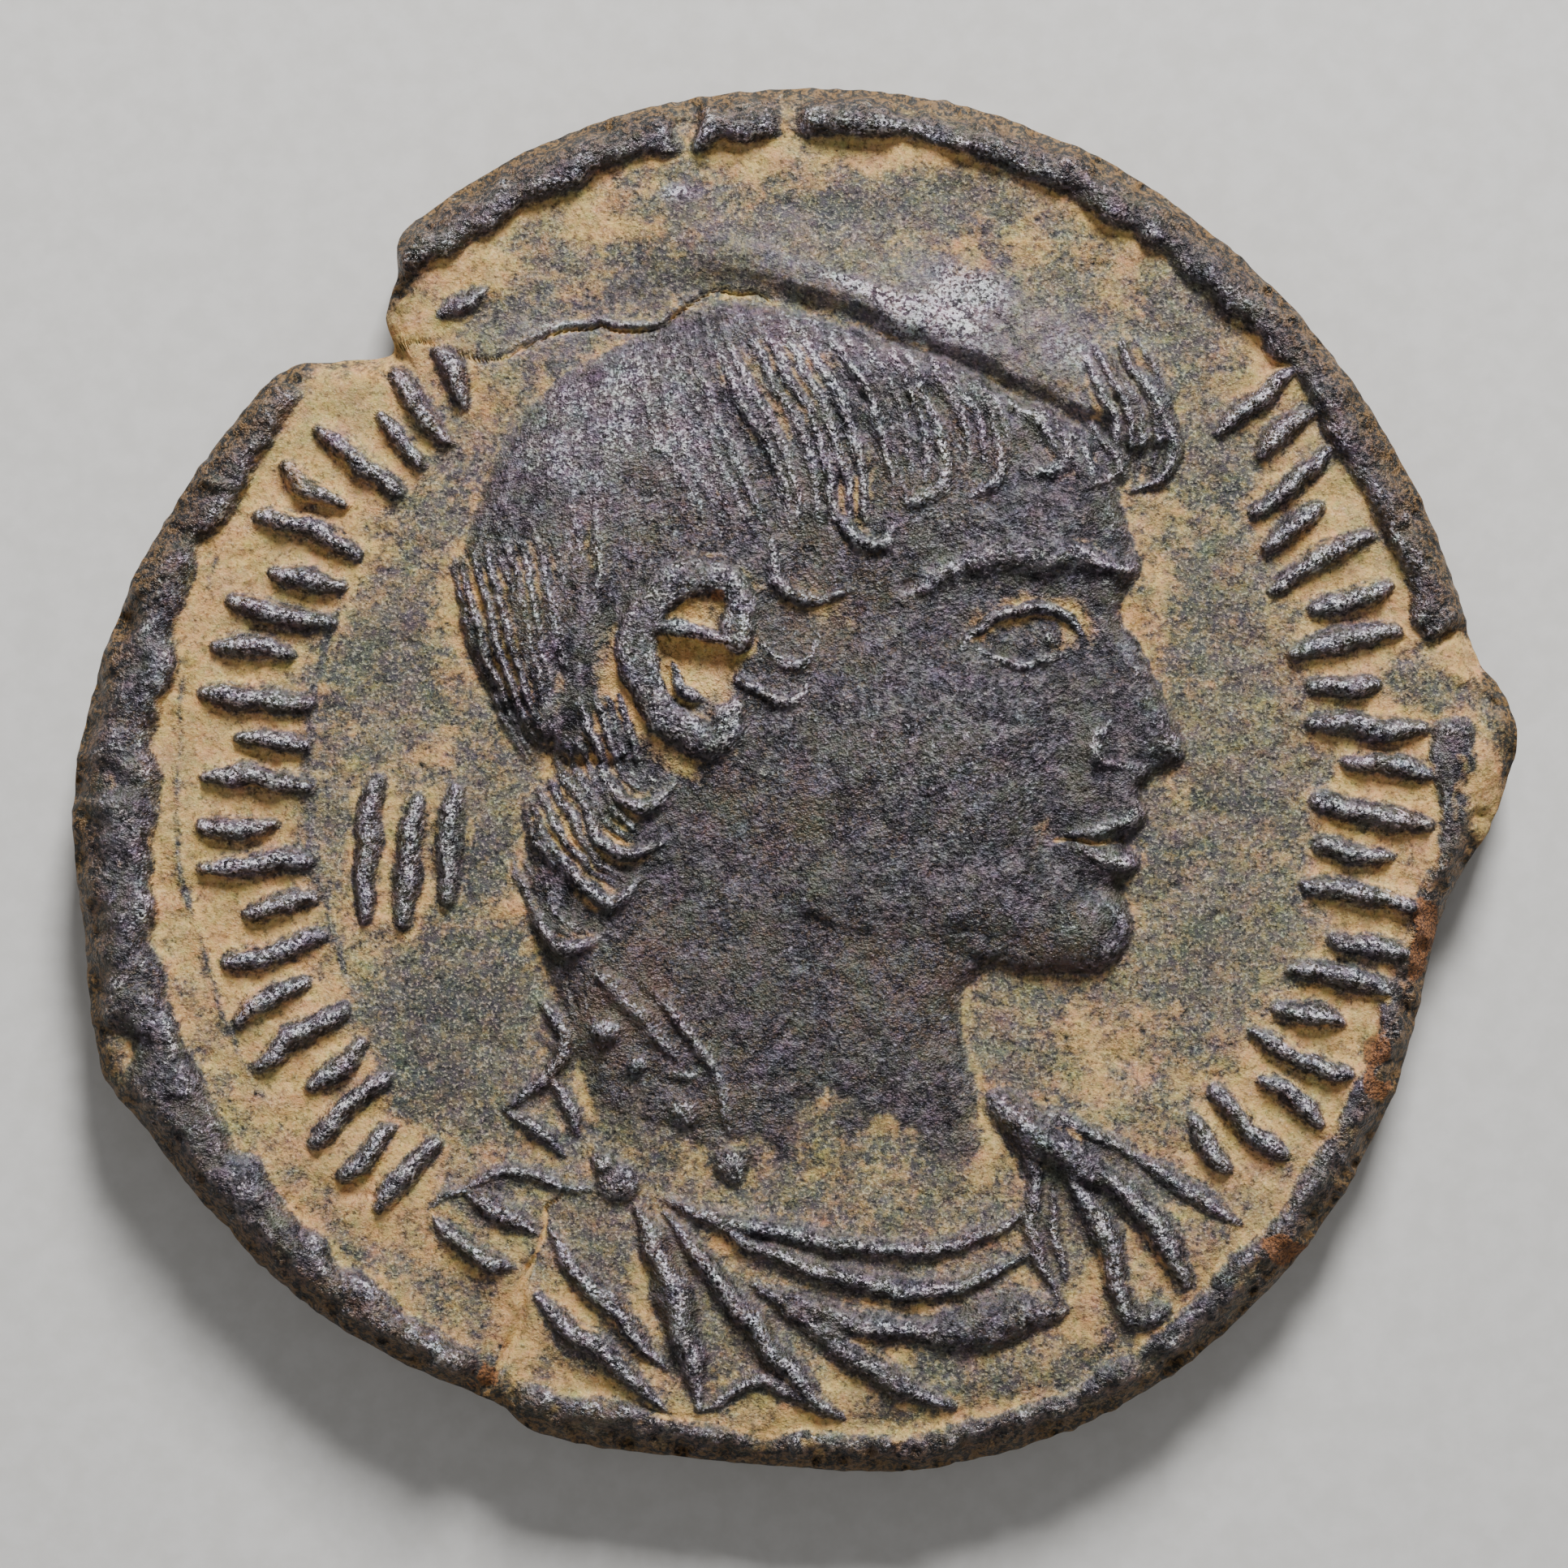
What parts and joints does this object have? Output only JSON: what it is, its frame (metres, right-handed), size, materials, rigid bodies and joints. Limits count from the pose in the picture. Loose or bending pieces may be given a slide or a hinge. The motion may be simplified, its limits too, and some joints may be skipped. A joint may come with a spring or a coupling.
{
  "type": "ancient struck bronze coin",
  "caption": "Thick, uneven struck bronze disc with a raised draped bust, border ring and rows of strokes; notched and cracked at the edge, worn flat below.",
  "frame": {"origin": "under the middle of the coin's box, on the plane that the coin lies on", "axes": "+Z out of the bust side, +X the way the bust faces and along the coin's widest direction, +Y towards the top of the head"},
  "size_m": [0.023, 0.022, 0.0021],
  "materials": {
    "patinated_bronze": "dark grey-green patina over bronze, with sand-coloured earth in the hollows of the relief"
  },
  "bodies": {
    "root": {"struck_coin": "patinated_bronze"}
  },
  "joints": []
}
